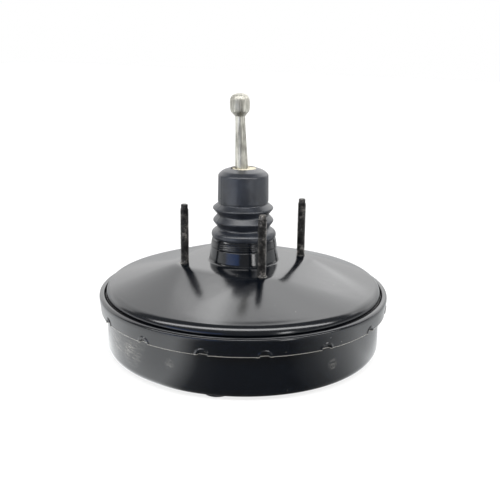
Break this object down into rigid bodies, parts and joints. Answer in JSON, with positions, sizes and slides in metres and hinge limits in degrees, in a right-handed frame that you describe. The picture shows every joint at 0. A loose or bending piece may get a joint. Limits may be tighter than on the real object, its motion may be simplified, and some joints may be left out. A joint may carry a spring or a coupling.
{
  "type": "brake booster",
  "caption": "Round vacuum brake booster with a crimped shell, a stepped neck under a pleated rubber boot, a ball-ended push rod and mounting studs.",
  "frame": {"origin": "centre of the four bulkhead studs, on the flat plateau that meets the bulkhead", "axes": "+Z out of the plateau along the push rod, towards the pedal; +X and +Y across the stud pattern"},
  "size_m": [0.2745, 0.2744, 0.2438],
  "materials": {
    "shell_paint": "gloss black paint over pressed steel",
    "stud_steel": "dark phosphated thread, slightly oily",
    "zinc_steel": "turned steel with a pale yellowish zinc coat",
    "inner_steel": "plain pressed steel",
    "spring_steel": "drawn spring wire",
    "rubber": "satin black moulded rubber",
    "moulding": "dark filled thermoset moulding",
    "felt": "cream felt and foam"
  },
  "bodies": {
    "shell": {"rear_shell": "shell_paint", "front_shell": "shell_paint", "bulkhead_studs": "stud_steel", "stud_plate": "inner_steel", "mc_plate": "inner_steel", "mc_studs": "zinc_steel", "front_seal": "rubber", "vacuum_grommet": "rubber", "neck_bush": "moulding", "neck_seal": "rubber", "lock_ring": "inner_steel", "dust_boot": "rubber", "diaphragm": "rubber", "return_spring": "spring_steel"},
    "piston": {"valve_body": "moulding", "diaphragm_plate": "inner_steel", "reaction_disc": "rubber", "output_rod": "zinc_steel", "output_retainer": "inner_steel", "adjusting_screw": "zinc_steel", "stop_key": "inner_steel", "poppet_valve": "rubber", "poppet_retainer": "inner_steel", "poppet_spring": "spring_steel", "silencer": "felt", "air_filter": "felt", "rod_spring": "spring_steel"},
    "plunger": {"valve_plunger": "zinc_steel"},
    "rod": {"input_rod": "zinc_steel", "spring_cup": "inner_steel"}
  },
  "joints": [
    {"name": "piston_stroke", "type": "slide", "parent": "shell", "child": "piston", "axis": [0, 0, -1], "range_m": [0, 0.024], "stiffness_N_per_m": 4000, "springref_m": -0.03, "deforming": ["dust_boot", "diaphragm", "return_spring"]},
    {"name": "input_travel", "type": "slide", "parent": "piston", "child": "plunger", "axis": [0, 0, -1], "range_m": [0, 0.002], "stiffness_N_per_m": 8000, "springref_m": -0.01, "deforming": ["rod_spring", "reaction_disc"]},
    {"name": "rod_swivel", "type": "hinge", "parent": "plunger", "child": "rod", "pos_m": [0, 0, 0.011], "axis": [0, 1, 0], "range_deg": [-0.4, 5.6], "stiffness_Nm_per_rad": 2, "deforming": ["air_filter"]}
  ]
}
